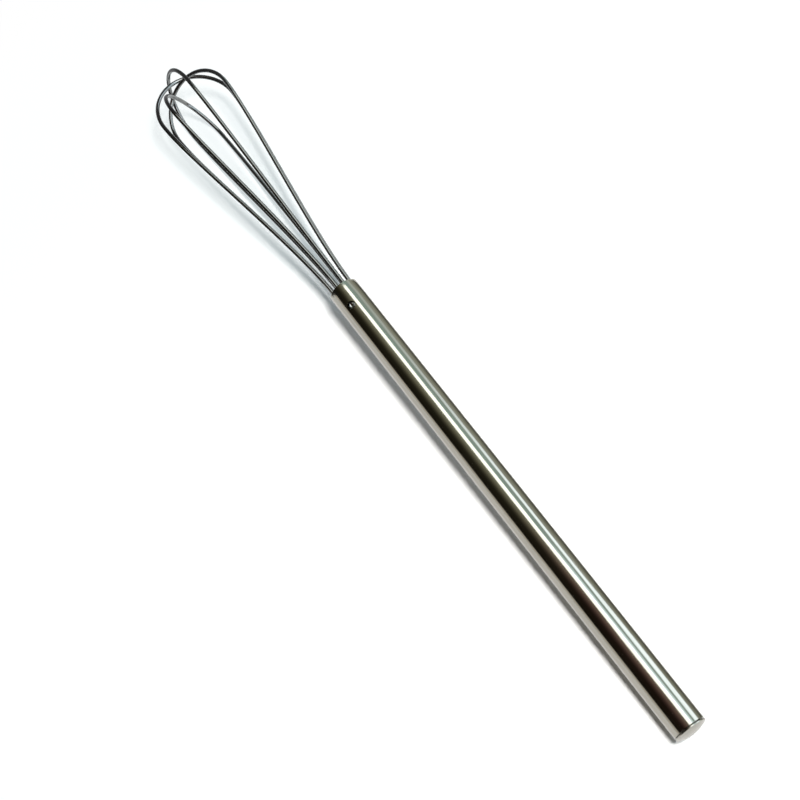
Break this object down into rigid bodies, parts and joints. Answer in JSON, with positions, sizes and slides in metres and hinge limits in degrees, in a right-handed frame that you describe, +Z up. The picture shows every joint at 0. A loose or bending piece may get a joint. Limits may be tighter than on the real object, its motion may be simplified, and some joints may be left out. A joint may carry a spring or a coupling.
{
  "type": "wire whisk",
  "caption": "Slim hand whisk: wire loops crossing at a rounded tip, held in a long round steel tube handle with a domed end cap.",
  "frame": {"origin": "centre of the footprint on the surface that the whisk lies on", "axes": "+X along the whisk from the end cap to the wire tip, +Z up, the whisk lying at rest on its cap rim and two wire arms"},
  "size_m": [0.3094, 0.0304, 0.0296],
  "materials": {
    "tube_steel": "drawn tube, polished along its length",
    "cap_steel": "satin",
    "core_steel": "as machined",
    "pin_steel": "satin",
    "wire_steel": "bright drawn wire"
  },
  "bodies": {
    "root": {"handle_tube": "tube_steel", "end_cap": "cap_steel", "wire_holder": "core_steel", "cross_pin": "pin_steel", "wire_loop_1": "wire_steel", "wire_loop_2": "wire_steel", "wire_loop_3": "wire_steel", "wire_loop_4": "wire_steel"}
  },
  "joints": []
}
